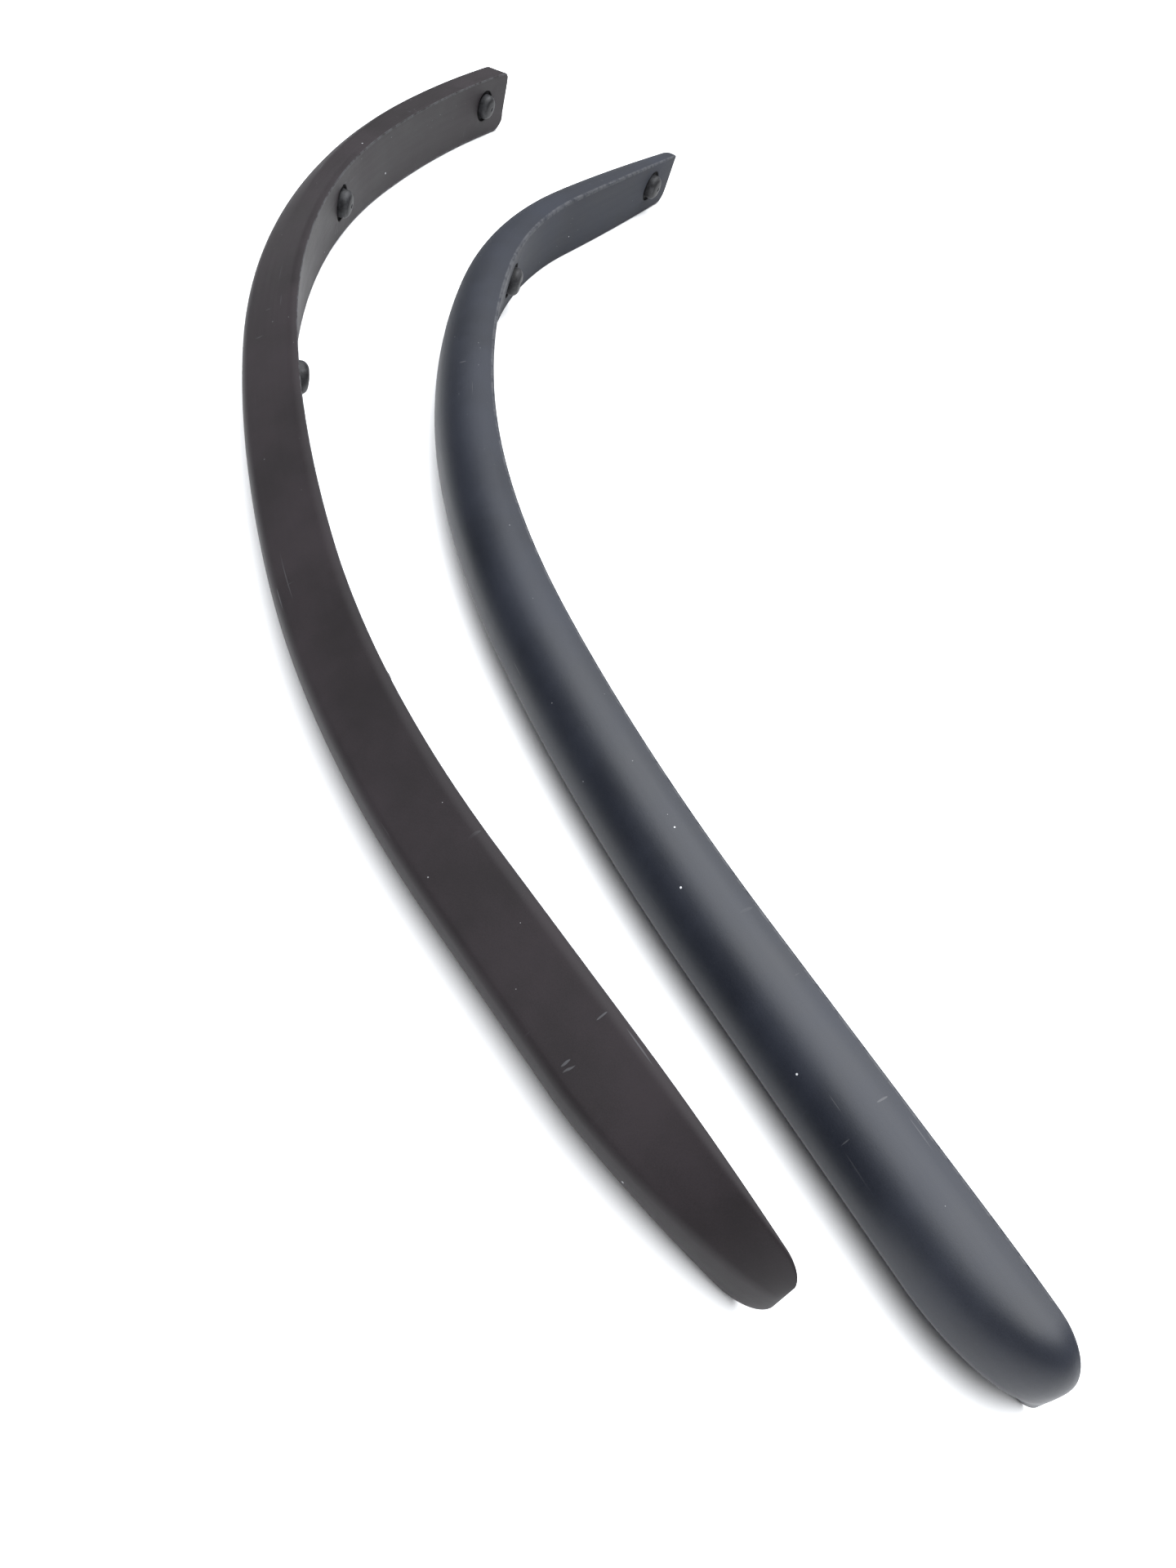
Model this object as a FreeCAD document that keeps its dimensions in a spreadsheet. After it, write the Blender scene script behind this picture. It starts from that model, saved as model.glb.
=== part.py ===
import FreeCAD, Part
import math
import os
import Sketcher

# A pair of moulded rubber edge guards, each a long strip bent like a J and standing on one long
# edge. Every guard is a solid rubber moulding over a thin steel stiffening band, with a row of
# studs plugged into its flat inner face. The two are opposite hands of one shape: the right guard
# stands on its broad edge, and the left guard stands the other way up.
#
# Each guard is drawn in its own frame: the inner face starts at the origin and runs along +Y, the
# concave side faces +X, and mid-height is z = 0. The guard's pose then stands it on the ground.

DRIVING_SIZES = {
    "height": 40.0,             # width of the strip, which stands on edge
    "thickness": 24.7,          # inner face to the crown of the outer face
    "crownLevel": 18.5,         # crown height above the broad edge
    "footWidth": 3.0,           # narrow flat along the broad edge
    "slopeWidth": 22.5,         # the broad edge slopes back from the foot as far out as this
    "slopeRise": 14.2,          # and over this much of the height
    "lipLean": 1.7,             # how far the thin edge leans over the concave side
    "runLength": 163.0,         # stretches of the inner face, from the nose to the tip
    "sweepLength": 162.0,
    "waistLength": 166.0,
    "bowLength": 131.0,
    "bendLength": 128.0,
    "leftTailLength": 178.6,    # the left guard is cut a little longer
    "rightTailLength": 153.0,
    "leftSweepTurn": 17.6,      # turn of each stretch towards the concave side, in degrees
    "leftWaistTurn": 9.7,
    "leftBowTurn": 12.8,
    "leftBendTurn": 14.0,
    "leftTailTurn": 10.8,
    "rightSweepTurn": 9.3,
    "rightWaistTurn": 18.7,
    "rightBowTurn": 11.6,
    "rightBendTurn": 22.9,
    "rightTailTurn": -2.5,
    "leftNoseStart": 0.5,       # the rounded nose, along the strip
    "leftNoseLength": 86.0,
    "leftNoseShape": 1.35,      # how its thickness grows: 1 is a wedge, 2 an ellipse
    "leftNoseAside": 3.5,       # how far its end leaves the line, towards the outer face
    "leftThinRound": 16.0,      # radius of its thin-edge corner
    "leftBroadRound": 9.0,      # radius of its broad-edge corner
    "rightNoseStart": 0.7,
    "rightNoseLength": 50.0,
    "rightNoseShape": 2.05,
    "rightNoseAside": 1.0,
    "rightThinRound": 19.0,
    "rightBroadRound": 4.8,
    "bandDepth": 9.0,           # inner face to the stiffening band
    "bandThickness": 1.5,
    "bandWidth": 20.0,
    "bandNoseGap": 90.0,        # the band stops short of both ends
    "bandTipGap": 10.0,
    "leftStud1": 898.0,         # nose to each stud, along the inner face
    "leftStud2": 668.0,
    "leftStud3": 469.0,
    "leftStud4": 258.0,
    "rightStud1": 868.0,
    "rightStud2": 645.0,
    "rightStud3": 430.0,
    "rightStud4": 215.0,
    "leftStudRise": 2.0,        # studs above mid-height
    "rightStudRise": 0.0,
    "seatRadius": 10.2,         # shallow round seat around each stud
    "seatDepth": 1.2,
    "shankRadius": 5.0,
    "shankDepth": 8.5,          # how far the shank goes into the rubber
    "headRadius": 8.0,
    "headFlat": 4.5,            # radius of the flat on top of the head
    "headRim": 3.4,             # seat's floor to the top of the head's straight side
    "headHeight": 7.2,          # seat's floor to the top of the head
    "leftX": -229.0,            # where each guard's nose stands, and the way it points
    "leftY": -358.75,
    "leftHeading": 0.0,
    "rightX": -171.95,
    "rightY": -426.65,
    "rightHeading": 4.18,
}
STUDS = (1, 2, 3, 4)            # counted from the tip
BENDS = ("Sweep", "Waist", "Bow", "Bend", "Tail")
NOSE_STATIONS = (0.008, 0.03, 0.065, 0.115, 0.18, 0.26, 0.35, 0.46, 0.6, 0.78, 1.0)
UP = FreeCAD.Vector(0, 0, 1)

doc = FreeCAD.newDocument("EdgeGuards")
sheet = doc.addObject("Spreadsheet::Sheet", "Sizes")
for row, (alias, number) in enumerate(DRIVING_SIZES.items(), start=1):
    sheet.set(f"A{row}", alias)
    sheet.set(f"B{row}", str(number))
    sheet.setAlias(f"B{row}", alias)
doc.recompute()


def value(expression):
    result = sheet.evalExpression(expression)
    return float(getattr(result, "Value", result))


def attachSketch(body, name, role, offset="0"):
    """A sketch on one of the body's own origin planes, set off along the plane's normal."""
    sketch = body.newObject("Sketcher::SketchObject", name)
    plane = next(item for item in body.Origin.OriginFeatures if item.Role == role)
    sketch.AttachmentSupport = [(plane, "")]
    sketch.MapMode = "FlatFace"
    sketch.setExpression("AttachmentOffset.Base.z", offset)
    return sketch


def dimension(sketch, kind, where, expression):
    """A dimension that follows an expression in the sheet's cells."""
    index = sketch.addConstraint(Sketcher.Constraint(kind, *where, value(expression)))
    sketch.setExpression(f"Constraints[{index}]", expression)


def closedOutline(sketch, corners, arcs):
    """Edges from corner to corner, each corner held by expressions for its x and y.

    arcs maps an edge's number to the expressions for its centre.
    """
    points = [FreeCAD.Vector(value(x), value(y), 0) for x, y in corners]
    ends = []
    for edge, start in enumerate(points):
        stop = points[(edge + 1) % len(points)]
        if edge not in arcs:
            sketch.addGeometry(Part.LineSegment(start, stop))
            ends.append((1, 2))
            continue
        centre = FreeCAD.Vector(value(arcs[edge][0]), value(arcs[edge][1]), 0)
        fromAngle = math.atan2(start.y - centre.y, start.x - centre.x)
        toAngle = math.atan2(stop.y - centre.y, stop.x - centre.x)
        turn = (toAngle - fromAngle + math.pi) % (2 * math.pi) - math.pi
        circle = Part.Circle(centre, UP, (start - centre).Length)
        first, last = (fromAngle, fromAngle + turn) if turn > 0 else (toAngle, toAngle - turn)
        sketch.addGeometry(Part.ArcOfCircle(circle, first, last))
        ends.append((1, 2) if turn > 0 else (2, 1))
        dimension(sketch, "DistanceY", (edge, 3), arcs[edge][1])
    for edge, (x, y) in enumerate(corners):
        before = (edge - 1) % len(corners)
        sketch.addConstraint(Sketcher.Constraint("Coincident", before, ends[before][1], edge, ends[edge][0]))
        dimension(sketch, "DistanceX", (edge, ends[edge][0]), x)
        dimension(sketch, "DistanceY", (edge, ends[edge][0]), y)


def roundedShare(station, radius):
    """Share of the half height, this far from the end, where a corner of this radius is rounded off."""
    short = f"max(0, 1 - ({station}) / {radius})"
    return f"(1 - {radius} / (Sizes.height / 2) * (1 - sqrt(1 - {short} ^ 2)))"


def stripSection(body, name, side, along, broadEdge):
    """The strip's section, this share of the way along its nose; broadEdge is -1 below, 1 above."""
    nose = f"Sizes.{side}Nose"
    past = f"{along} * ({nose}Length - {nose}Start)"
    sketch = attachSketch(body, name, "XZ_Plane", f"-({nose}Start + {past})")
    share = f"(1 - (1 - {along}) ^ {nose}Shape) ^ (1 / {nose}Shape)"
    aside = f"-{nose}Aside * (1 - {along}) ^ 2"
    thin = f"{-broadEdge} * {roundedShare(past, f'Sizes.{side}ThinRound')}"
    broad = f"{-broadEdge} * {roundedShare(past, f'Sizes.{side}BroadRound')}"
    top = f"{thin} * Sizes.height / 2"
    bottom = f"{broad} * -Sizes.height / 2"
    slopeEnd = f"{broad} * (Sizes.slopeRise - Sizes.height / 2)"
    crown = f"{broad} * (Sizes.crownLevel - Sizes.height / 2)"
    flankBulge = f"({share} * (Sizes.thickness - Sizes.slopeWidth))"
    upperBulge = f"({share} * (Sizes.height - Sizes.crownLevel))"
    flankRadius = f"({flankBulge} ^ 2 + ({crown} - {slopeEnd}) ^ 2) / (2 * {flankBulge})"
    upperRadius = f"({upperBulge} ^ 2 + ({top} - {crown}) ^ 2) / (2 * {upperBulge})"
    outer = f"{aside} - {share} * Sizes.thickness"
    corners = (
        (aside, bottom),
        (f"{aside} - {share} * Sizes.footWidth", bottom),
        (f"{aside} - {share} * Sizes.slopeWidth", slopeEnd),
        (outer, crown),
        (f"{aside} - {share} * (Sizes.thickness - (Sizes.height - Sizes.crownLevel))", top),
        (f"{aside} + {share} * Sizes.lipLean", top),
    )
    arcs = {
        2: (f"{outer} + {flankRadius}", crown),
        3: (f"{outer} + {upperRadius}", crown),
    }
    closedOutline(sketch, corners, arcs)
    return sketch


def stretches(side):
    """Length and turn, as expressions, of each bent stretch after the straight run."""
    lengths = [f"Sizes.{bend.lower()}Length" for bend in BENDS[:-1]] + [f"Sizes.{side}TailLength"]
    return [(length, f"Sizes.{side}{bend}Turn") for length, bend in zip(lengths, BENDS)]


def guardPath(body, side, noseGap, tipGap):
    """The line that the strip follows: a straight run, then arcs that leave it smoothly."""
    sketch = attachSketch(body, f"{body.Name}_path", "XY_Plane")
    here = FreeCAD.Vector(0, value("Sizes.runLength"), 0)
    sketch.addGeometry(Part.LineSegment(FreeCAD.Vector(0, value(noseGap), 0), here))
    sketch.addConstraint(Sketcher.Constraint("Vertical", 0))
    dimension(sketch, "DistanceX", (0, 1), "0")
    dimension(sketch, "DistanceY", (0, 1), noseGap)
    dimension(sketch, "DistanceY", (0, 2), "Sizes.runLength")
    heading = 0.0
    joint = (0, 2)
    bends = stretches(side)
    for number, (length, turn) in enumerate(bends, start=1):
        swept = f"abs({turn})"
        if number == len(bends):
            swept = f"abs({turn}) * (1 - ({tipGap}) / {length})"
        radiusExpression = f"abs({length} / ({turn} * pi / 180))"
        radius = value(radiusExpression)
        hand = math.copysign(1, value(turn))
        toCentre = FreeCAD.Vector(math.cos(heading), -math.sin(heading), 0) * hand
        centre = here + toCentre * radius
        angle = math.radians(value(swept))
        start = math.atan2(here.y - centre.y, here.x - centre.x)
        first, last = (start - angle, start) if hand > 0 else (start, start + angle)
        sketch.addGeometry(Part.ArcOfCircle(Part.Circle(centre, UP, radius), first, last))
        near, far = (2, 1) if hand > 0 else (1, 2)
        sketch.addConstraint(Sketcher.Constraint("Tangent", joint[0], joint[1], number, near))
        dimension(sketch, "Radius", (number,), radiusExpression)
        dimension(sketch, "Angle", (number,), f"{swept} * 1 deg")
        stop = last if hand < 0 else first
        here = centre + FreeCAD.Vector(math.cos(stop), math.sin(stop), 0) * radius
        heading += hand * angle
        joint = (number, far)
    return sketch


def pointAlong(side, distance):
    """Point and heading of the inner face, this far from the nose."""
    here = FreeCAD.Vector(0, 0, 0)
    heading = 0.0
    for length, turn in [("Sizes.runLength", "0")] + stretches(side):
        whole = value(length)
        step = min(distance, whole)
        angle = math.radians(value(turn)) * step / whole
        chord = step * (math.sin(angle / 2) / (angle / 2) if angle else 1)
        middle = heading + angle / 2
        here += FreeCAD.Vector(math.sin(middle), math.cos(middle), 0) * chord
        heading += angle
        distance -= step
        if distance <= 0:
            break
    return here, heading


def guardPose(side):
    """Where a guard stands on the ground."""
    spot = FreeCAD.Vector(value(f"Sizes.{side}X"), value(f"Sizes.{side}Y"), value("Sizes.height / 2"))
    return FreeCAD.Placement(spot, FreeCAD.Rotation(UP, -value(f"Sizes.{side}Heading")))


def sweepAlong(body, section, path):
    pipe = body.newObject("PartDesign::AdditivePipe", f"{body.Name}_sweep")
    pipe.Profile = section
    pipe.Spine = (path, [])
    body.Tip = pipe


def makeMoulding(side, broadEdge):
    """The rubber moulding before its pockets: a rounded nose, then the swept strip."""
    body = doc.addObject("PartDesign::Body", f"{side}_moulding")
    sections = []
    for number, along in enumerate(NOSE_STATIONS):
        name = f"{side}_nose_section_{number}"
        sections.append(stripSection(body, name, side, along, broadEdge))
    doc.recompute()
    nose = body.newObject("PartDesign::AdditiveLoft", f"{side}_nose")
    nose.Profile = sections[0]
    nose.Sections = sections[1:]
    nose.Ruled = True
    body.Tip = nose
    doc.recompute()
    path = guardPath(body, side, f"Sizes.{side}NoseLength", "0")
    section = stripSection(body, f"{side}_section", side, 1, broadEdge)
    doc.recompute()
    sweepAlong(body, section, path)
    body.Placement = guardPose(side)
    return body


def makeBand(side):
    """The steel band inside the moulding, which keeps its bend."""
    body = doc.addObject("PartDesign::Body", f"{side}_band")
    body.Label = f"{side}_stiffening_band"
    section = attachSketch(body, f"{side}_band_section", "XZ_Plane", "-Sizes.bandNoseGap")
    near = "-Sizes.bandDepth"
    far = "-(Sizes.bandDepth + Sizes.bandThickness)"
    half = "Sizes.bandWidth / 2"
    corners = ((near, f"-{half}"), (far, f"-{half}"), (far, half), (near, half))
    closedOutline(section, corners, {})
    path = guardPath(body, side, "Sizes.bandNoseGap", "Sizes.bandTipGap")
    doc.recompute()
    sweepAlong(body, section, path)
    body.Placement = guardPose(side)
    return body


def studPose(side, number):
    """A stud's place: its axis leaves the inner face square, on the concave side."""
    spot, heading = pointAlong(side, value(f"Sizes.{side}Stud{number}"))
    outOfFace = FreeCAD.Vector(math.cos(heading), -math.sin(heading), 0)
    spot += outOfFace * value("Sizes.lipLean / 2") + UP * value(f"Sizes.{side}StudRise")
    local = FreeCAD.Placement(spot, FreeCAD.Rotation(UP, outOfFace))
    return guardPose(side).multiply(local)


def makeStud(side, number):
    """A turned plug: a shank, and a head with a rounded shoulder, drawn from the face outwards."""
    body = doc.addObject("PartDesign::Body", f"{side}_stud_body_{number}")
    body.Label = f"{side}_stud_{number}"
    half = attachSketch(body, f"{body.Name}_half", "XZ_Plane")
    floor = "-Sizes.seatDepth"
    rim = "(Sizes.headRim - Sizes.seatDepth)"
    top = "(Sizes.headHeight - Sizes.seatDepth)"
    bottom = "-Sizes.shankDepth"
    rise = "(Sizes.headHeight - Sizes.headRim)"
    inward = "(Sizes.headRadius - Sizes.headFlat)"
    shoulderRadius = f"({rise} ^ 2 + {inward} ^ 2) / (2 * {inward})"
    corners = (
        ("0", bottom),
        ("Sizes.shankRadius", bottom),
        ("Sizes.shankRadius", floor),
        ("Sizes.headRadius", floor),
        ("Sizes.headRadius", rim),
        ("Sizes.headFlat", top),
        ("0", top),
    )
    closedOutline(half, corners, {4: (f"Sizes.headRadius - {shoulderRadius}", rim)})
    doc.recompute()
    turned = body.newObject("PartDesign::Revolution", f"{body.Name}_turned")
    turned.Profile = half
    turned.ReferenceAxis = (half, ["V_Axis"])
    turned.Angle = 360
    body.Tip = turned
    body.Placement = studPose(side, number)
    return body


def drill(side, number, name, radius, depth):
    """A round tool that cuts this deep into the inner face at a stud's place."""
    tool = doc.addObject("Part::Cylinder", f"{side}_{name}_{number}")
    over = value("Sizes.headHeight")
    tool.setExpression("Radius", radius)
    tool.setExpression("Height", f"{depth} + Sizes.headHeight")
    into = FreeCAD.Placement(FreeCAD.Vector(0, 0, over), FreeCAD.Rotation(FreeCAD.Vector(1, 0, 0), 180))
    tool.Placement = studPose(side, number).multiply(into)
    return tool


def makeGuard(side, broadEdge):
    moulding = makeMoulding(side, broadEdge)
    band = makeBand(side)
    parts = [band]
    tools = [band]
    for number in STUDS:
        parts.append(makeStud(side, number))
        tools.append(drill(side, number, "bore", "Sizes.shankRadius", "Sizes.shankDepth"))
        tools.append(drill(side, number, "seat", "Sizes.seatRadius", "Sizes.seatDepth"))
    doc.recompute()
    pockets = doc.addObject("Part::MultiFuse", f"{side}_pockets")
    pockets.Shapes = tools
    strip = doc.addObject("Part::Cut", f"{side}_strip")
    strip.Base = moulding
    strip.Tool = pockets
    parts.append(strip)
    return parts


nodes = makeGuard("right", -1) + makeGuard("left", 1)
doc.recompute()

for item in doc.Objects:
    if "Invalid" in item.State or "Error" in item.State:
        raise RuntimeError(f"{item.Label} failed: {item.State}")
for node in nodes:
    if node.Shape.isNull() or not node.Shape.isValid():
        raise RuntimeError(f"{node.Label} has no valid shape")

os.makedirs("parts", exist_ok=True)
for node in nodes:
    node.Shape.exportStep(f"parts/{node.Label}.step")
    box = node.Shape.BoundBox
    print(f"{node.Label:24s} {node.Shape.Volume / 1000:8.2f} cm3 solids {len(node.Shape.Solids)} "
          f"x {box.XMin:.1f}..{box.XMax:.1f} y {box.YMin:.1f}..{box.YMax:.1f} z {box.ZMin:.2f}..{box.ZMax:.2f}")
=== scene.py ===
import bmesh
import bpy
import math
import numpy as np
from mathutils import Matrix, Vector


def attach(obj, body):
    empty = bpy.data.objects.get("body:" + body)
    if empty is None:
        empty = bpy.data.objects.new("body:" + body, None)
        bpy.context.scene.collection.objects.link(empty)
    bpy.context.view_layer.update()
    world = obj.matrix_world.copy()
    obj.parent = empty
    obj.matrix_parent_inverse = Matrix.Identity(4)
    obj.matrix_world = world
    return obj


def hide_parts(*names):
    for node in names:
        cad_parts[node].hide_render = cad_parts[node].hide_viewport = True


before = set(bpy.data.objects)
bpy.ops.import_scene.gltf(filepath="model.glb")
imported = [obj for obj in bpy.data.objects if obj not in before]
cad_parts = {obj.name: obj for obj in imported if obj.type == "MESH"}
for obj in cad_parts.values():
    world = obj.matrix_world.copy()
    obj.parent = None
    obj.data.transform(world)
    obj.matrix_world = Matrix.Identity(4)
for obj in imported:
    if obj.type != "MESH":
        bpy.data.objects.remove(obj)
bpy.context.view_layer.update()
mm = 0.001


# Helpers for node trees.

def addNode(tree, kind, inputs=None, **settings):
    node = tree.nodes.new(kind)
    for name, setting in settings.items():
        setattr(node, name, setting)
    for key, given in (inputs or {}).items():
        if isinstance(given, bpy.types.NodeSocket):
            tree.links.new(given, node.inputs[key])
        else:
            node.inputs[key].default_value = given
    return node


def calc(tree, operation, *values, clamp=False):
    node = addNode(tree, "ShaderNodeMath", dict(enumerate(values)), operation=operation, use_clamp=clamp)
    return node.outputs[0]


def remap(tree, value, low, high, toLow=0.0, toHigh=1.0, kind="SMOOTHSTEP"):
    inputs = {"Value": value, "From Min": low, "From Max": high, "To Min": toLow, "To Max": toHigh}
    return addNode(tree, "ShaderNodeMapRange", inputs, interpolation_type=kind).outputs["Result"]


def stretch(tree, vector, scale):
    return addNode(tree, "ShaderNodeMapping", {"Vector": vector, "Scale": scale}).outputs["Vector"]


def noise(tree, vector, scale, detail=2.0, roughness=0.5):
    inputs = {"Vector": vector, "Scale": scale, "Detail": detail, "Roughness": roughness}
    return addNode(tree, "ShaderNodeTexNoise", inputs).outputs["Fac"]


def mixColour(tree, share, first, second):
    node = addNode(tree, "ShaderNodeMix", data_type="RGBA")
    sockets = [s for s in node.inputs if s.enabled]        # factor, then the two colours
    for socket, given in zip(sockets, (share, first, second)):
        if isinstance(given, bpy.types.NodeSocket):
            tree.links.new(given, socket)
        else:
            socket.default_value = given
    return next(s for s in node.outputs if s.enabled)


def newGroup(name, kind, inputs, outputs):
    tree = bpy.data.node_groups.new(name, kind)
    for label, socketType, start in inputs:
        socket = tree.interface.new_socket(name=label, in_out="INPUT", socket_type=socketType)
        if start is not None:
            socket.default_value = start
    for label, socketType in outputs:
        tree.interface.new_socket(name=label, in_out="OUTPUT", socket_type=socketType)
    return tree, tree.nodes.new("NodeGroupInput"), tree.nodes.new("NodeGroupOutput")


def linkOut(tree, groupOut, **sockets):
    for label, socket in sockets.items():
        tree.links.new(socket, groupOut.inputs[label])


def useGroup(tree, group, **inputs):
    node = tree.nodes.new("ShaderNodeGroup")
    node.node_tree = group
    for label, given in inputs.items():
        label = label.replace("_", " ")
        if isinstance(given, bpy.types.NodeSocket):
            tree.links.new(given, node.inputs[label])
        else:
            node.inputs[label].default_value = given
    return node.outputs


def runNodes(name, group, **inputs):
    # Runs a geometry tree on an empty mesh and returns the result as a plain mesh object.
    host = bpy.data.objects.new(name, bpy.data.meshes.new(name))
    bpy.context.scene.collection.objects.link(host)
    modifier = host.modifiers.new("build", "NODES")
    modifier.node_group = group
    for item in group.interface.items_tree:
        if item.item_type == "SOCKET" and item.in_out == "INPUT" and item.name in inputs:
            modifier[item.identifier] = inputs[item.name]
    bpy.context.view_layer.update()
    depsgraph = bpy.context.evaluated_depsgraph_get()
    baked = bpy.data.meshes.new_from_object(host.evaluated_get(depsgraph), preserve_all_data_layers=True,
                                            depsgraph=depsgraph)
    host.modifiers.clear()
    host.data = baked
    baked.name = name
    return host


def polyCurve(name, points, radii, cyclic=False):
    # A helper curve of straight segments, whose point radii carry a value to the geometry tree.
    data = bpy.data.curves.new(name, "CURVE")
    data.dimensions = "3D"
    data.twist_mode = "Z_UP"
    spline = data.splines.new("POLY")
    spline.points.add(len(points) - 1)
    spline.points.foreach_set("co", np.column_stack([points, np.ones(len(points))]).ravel())
    spline.points.foreach_set("radius", radii)
    spline.use_cyclic_u = cyclic
    helper = bpy.data.objects.new(name, data)
    bpy.context.scene.collection.objects.link(helper)
    helper.hide_render = True
    return helper


# The line that each strip follows, its two ends and its section, in millimetres. The line lies on
# the inner face and starts at the rounded nose.
guards = {
    "left": {
        "spot": (-229.0, -358.75),      # where the line starts
        "heading": 0.0,                 # degrees, from +Y towards +X
        "broadEdge": 1,                 # 1 where the broad edge is on top, -1 where it is below
        "stretches": (163.0, 162.0, 166.0, 131.0, 128.0, 178.6),
        "turns": (0.0, 17.6, 9.7, 12.8, 14.0, 10.8),        # degrees over each stretch
        "noseStart": 0.5, "noseLength": 86.0,
        "noseShape": 1.5,               # 2 is an ellipse, less is more pointed
        "noseAside": 3.5,               # the nose leans out from the line by this much
        "noseThinRound": 16.0, "noseBroadRound": 9.0,
        "taperLength": 60.0, "taperEase": 1.7,
        "tipThick": 1.0, "tipThin": 1.0, "tipBroad": 1.0,   # shares left at the end of the taper
        "tipThinRound": 10.0, "tipBroadRound": 6.0,
        "fullFrom": 560.0, "fullTo": 800.0,                 # the broad edge fills out between these
        "studs": (898.0, 668.0, 469.0, 258.0), "studRise": 2.0,
    },
    "right": {
        "spot": (-171.95, -426.65),
        "heading": 4.18,
        "broadEdge": -1,
        "stretches": (163.0, 162.0, 166.0, 131.0, 128.0, 153.0),
        "turns": (0.0, 9.3, 18.7, 11.6, 22.9, -2.5),
        "noseStart": 1.15, "noseLength": 50.0,
        "noseShape": 2.05,
        "noseAside": 1.0,
        "noseThinRound": 19.0, "noseBroadRound": 4.8,
        "taperLength": 150.0, "taperEase": 1.7,
        "tipThick": 0.65, "tipThin": 0.72, "tipBroad": 0.94,
        "tipThinRound": 3.0, "tipBroadRound": 10.6,
        "fullFrom": 2000.0, "fullTo": 2100.0,               # past its end: it stays sloped
        "studs": (868.0, 645.0, 430.0, 215.0), "studRise": 0.0,
    },
}
rings = {
    "nose": 44,
    "plainStep": 3.5,
    "leastGap": 0.12,       # rings closer than this are left out
    "corner": 16,
    "edge": 7,              # rounding of the cut end's edge
    "edgeRound": 1.1,
    "edgeReach": 16.0,      # from the middle of the cut end to its edge, roughly
    "cap": 11,              # rings across the cut end
    "capPivot": 9.0,        # it closes to this far from the inner face
}
section = {
    "height": 40.0,
    "thickness": 24.7,      # inner face to the crown of the outer face
    "crownLevel": 18.5,     # crown above the broad edge
    "footWidth": 3.0,       # narrow flat along the broad edge
    "footKept": 1.2,        # this much of it stays where it is when the edge fills out
    "slopeWidth": 22.5,     # the broad edge slopes back from the foot to here
    "slopeRise": 14.2,
    "fullWidth": 15.5,      # where the broad edge fills out, its flat is this wide
    "fullRise": 1.5,
    "lipLean": 1.7,         # the thin edge leans over the concave side
    "ridgeRound": 0.9,      # inner face to foot
    "footRound": 2.2,       # foot to slope
    "lipRound": 1.7,        # inner face to thin edge
    "step": 1.6,
    "cornerSteps": 9,
}
stud = {
    "seatRadius": 10.2,     # shallow round seat in the strip
    "seatDepth": 1.2,
    "boreRadius": 5.05,
    "boreDepth": 8.5,
    "shankRadius": 4.95,
    "headRadius": 7.95,
    "headFlat": 3.6,
    "headRim": 2.1,         # strip's face to the end of the head's straight side
    "headHeight": 5.95,     # strip's face to the top of the head
    "gridReach": 13.4,      # the round grid beside a stud blends into the plain one here
    "segments": 72,
    "linePoints": 1500,     # points of the helper line that the studs are set out along
}


def smooth(share):
    share = np.clip(share, 0, 1)
    return share * share * (3 - 2 * share)


def followLine(side, distances):
    # Spot on the inner face and heading, at each distance from the nose.
    guard = guards[side]
    distances = np.asarray(distances, float)
    spots = np.tile(np.array(guard["spot"], float), (len(distances), 1))
    headings = np.full(len(distances), math.radians(guard["heading"]))
    left = distances.copy()
    for length, turn in zip(guard["stretches"], guard["turns"]):
        step = np.clip(left, 0, length)
        angle = math.radians(turn) * step / length
        chord = step * np.sinc(angle / 2 / math.pi)
        middle = headings + angle / 2
        spots += np.column_stack([np.sin(middle), np.cos(middle)]) * chord[:, None]
        headings += angle
        left -= step
    return spots, headings


def place(side, distances, across, up):
    # World position, in metres, of points given along the strip, out from its inner face, and up
    # from mid-height.
    spots, headings = followLine(side, distances)
    outward = np.column_stack([-np.cos(headings), np.sin(headings)])
    flat = spots + outward * np.asarray(across)[:, None]
    return np.column_stack([flat, np.asarray(up) + section["height"] / 2]) * mm


def seatGrid():
    # Grid lines beside a stud, counted from its axis: they close up at the bore and the seat's wall.
    bore, seat, reach = stud["boreRadius"], stud["seatRadius"], stud["gridReach"]
    inner = [0.0, bore * 0.35, bore * 0.7, bore - 0.15, bore + 0.15]
    floor = list(np.linspace(bore + 1.4, seat - 1.0, 4))
    wall = [seat + gap for gap in (-0.45, -0.12, 0.15, 0.55, 1.5, 2.4)]
    return inner + floor + wall + [reach]


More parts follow.
